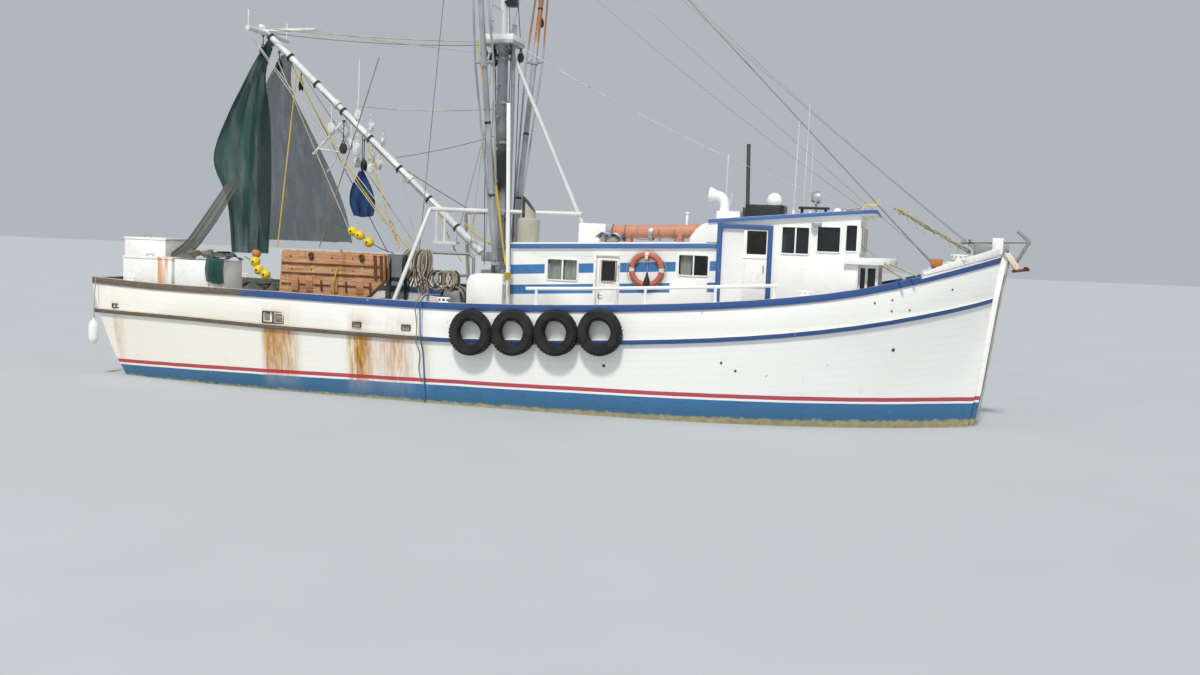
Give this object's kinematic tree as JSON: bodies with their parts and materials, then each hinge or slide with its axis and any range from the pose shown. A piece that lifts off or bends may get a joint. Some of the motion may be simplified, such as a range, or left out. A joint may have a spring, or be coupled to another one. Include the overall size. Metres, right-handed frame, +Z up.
{
  "type": "fishing trawler",
  "caption": "Wooden shrimp trawler with a raised pilothouse forward, a low deckhouse, a mast with outriggers, a net boom, a deck winch and trawl boards.",
  "frame": {"origin": "amidships on the centreline, at the waterline", "axes": "+X towards the bow, +Y to port, +Z up; the keel runs along X"},
  "size_m": [20.92, 6.4788, 15.6614],
  "materials": {
    "white_paint": "gloss white paint over planking, rust streaked",
    "blue_paint": "blue paint, weathered aft",
    "bottom_paint": "blue bottom paint",
    "bare_timber": "weathered timber",
    "white_steel": "white paint over steel pipe, rusting",
    "grey_steel": "grey paint over steel",
    "rusty_iron": "rusted iron",
    "bronze": "cast bronze",
    "tyre_rubber": "old tyre rubber",
    "orange_ring": "orange cover",
    "float_plastic": "faded orange plastic",
    "black_case": "black plastic",
    "net_twine": "green twine",
    "wire": "galvanised wire"
  },
  "bodies": {
    "hull": {"hull": "white_paint", "keel": "bottom_paint", "bulwark_starboard": "white_paint", "bulwark_port": "white_paint", "bulwark_stern": "white_paint", "cap_rail": "blue_paint", "rub_rail": "blue_paint", "side_rail_starboard": "white_steel", "side_rail_port": "white_steel", "house_side_starboard": "white_paint", "house_side_port": "white_paint", "house_aft_wall": "white_paint", "house_roof": "white_paint", "pilothouse_side_starboard": "white_paint", "pilothouse_side_port": "white_paint", "pilothouse_front": "white_paint", "pilothouse_aft_wall": "white_paint", "pilothouse_roof": "white_paint", "fore_cabin": "white_paint", "stack": "grey_steel", "roof_box": "white_paint", "roof_float": "float_plastic", "vent_locker": "white_paint", "roof_deck_gear": "black_case", "lifebuoy": "orange_ring", "tyre_1": "tyre_rubber", "tyre_2": "tyre_rubber", "tyre_3": "tyre_rubber", "tyre_4": "tyre_rubber", "mast": "grey_steel", "gallows": "white_steel", "winch_frame": "rusty_iron", "gear_rack": "grey_steel", "trawl_board_1": "bare_timber", "trawl_board_2": "bare_timber", "ice_chest": "white_paint", "stern_locker": "white_paint", "bin": "white_paint", "deck_tank": "white_steel", "hatch_coaming": "white_paint", "bow_bitts": "bare_timber", "anchor": "rusty_iron", "forestay": "wire", "net_aft": "net_twine", "net_fore": "net_twine", "net_heap": "net_twine"},
    "rudder": {"rudder": "bottom_paint"},
    "propeller": {"propeller": "bronze"},
    "pilot_door_starboard": {"pilot_door_starboard": "white_paint"},
    "pilot_door_port": {"pilot_door_port": "white_paint"},
    "house_door_starboard": {"house_door_starboard": "white_paint"},
    "house_door_port": {"house_door_port": "white_paint"},
    "house_door_aft": {"house_door_aft": "white_paint"},
    "winch_drum": {"winch_drum": "rusty_iron"},
    "boom": {"boom": "white_paint"},
    "outrigger_starboard": {"outrigger_starboard": "white_steel"},
    "outrigger_port": {"outrigger_port": "white_steel"},
    "ice_chest_lid": {"ice_chest_lid": "white_paint"},
    "stern_locker_lid": {"stern_locker_lid": "white_paint"},
    "hatch_cover": {"hatch_cover": "white_paint"}
  },
  "joints": [
    {"name": "rudder_turn", "type": "hinge", "parent": "hull", "child": "rudder", "pos_m": [-8.93, 0, -1.2], "axis": [0, 0, 1], "range_deg": [-35, 35]},
    {"name": "propeller_turn", "type": "hinge", "parent": "hull", "child": "propeller", "pos_m": [-8.42, 0, -1.34], "axis": [1, 0, 0], "continuous": true},
    {"name": "boom_lift", "type": "hinge", "parent": "hull", "child": "boom", "pos_m": [-1.4, 0, 3.12], "axis": [0, 1, 0], "range_deg": [-25, 12], "deforming": ["net_aft", "net_fore"]},
    {"name": "outrigger_starboard_swing", "type": "hinge", "parent": "hull", "child": "outrigger_starboard", "pos_m": [-0.93, -0.52, 2.95], "axis": [1, 0, 0], "range_deg": [0, 48]},
    {"name": "outrigger_port_swing", "type": "hinge", "parent": "hull", "child": "outrigger_port", "pos_m": [-0.93, 0.52, 2.95], "axis": [-1, 0, 0], "range_deg": [0, 48]},
    {"name": "winch_turn", "type": "hinge", "parent": "hull", "child": "winch_drum", "pos_m": [-1.95, 0, 2.12], "axis": [0, 1, 0], "continuous": true},
    {"name": "house_door_starboard_swing", "type": "hinge", "parent": "hull", "child": "house_door_starboard", "pos_m": [2.288, -1.8152, 2.5], "axis": [0, 0, 1], "range_deg": [0, 100]},
    {"name": "house_door_port_swing", "type": "hinge", "parent": "hull", "child": "house_door_port", "pos_m": [2.288, 1.8152, 2.5], "axis": [0, 0, -1], "range_deg": [0, 100]},
    {"name": "house_door_aft_swing", "type": "hinge", "parent": "hull", "child": "house_door_aft", "pos_m": [-0.1352, 1.198, 2.4], "axis": [0, 0, -1], "range_deg": [0, 100]},
    {"name": "ice_chest_lid_lift", "type": "hinge", "parent": "hull", "child": "ice_chest_lid", "pos_m": [-8.91, -1.512, 2.7856], "axis": [-1, 0, 0], "range_deg": [0, 95]},
    {"name": "stern_locker_lid_lift", "type": "hinge", "parent": "hull", "child": "stern_locker_lid", "pos_m": [-9.545, -0.142, 3.2156], "axis": [-1, 0, 0], "range_deg": [0, 100]},
    {"name": "hatch_cover_lift", "type": "hinge", "parent": "hull", "child": "hatch_cover", "pos_m": [-4.89, 0, 1.9906], "axis": [0, 1, 0], "range_deg": [0, 95]},
    {"name": "pilot_door_starboard_slide", "type": "slide", "parent": "hull", "child": "pilot_door_starboard", "axis": [-1, 0, 0], "range_m": [0, 0.44]},
    {"name": "pilot_door_port_slide", "type": "slide", "parent": "hull", "child": "pilot_door_port", "axis": [-1, 0, 0], "range_m": [0, 0.44]}
  ]
}
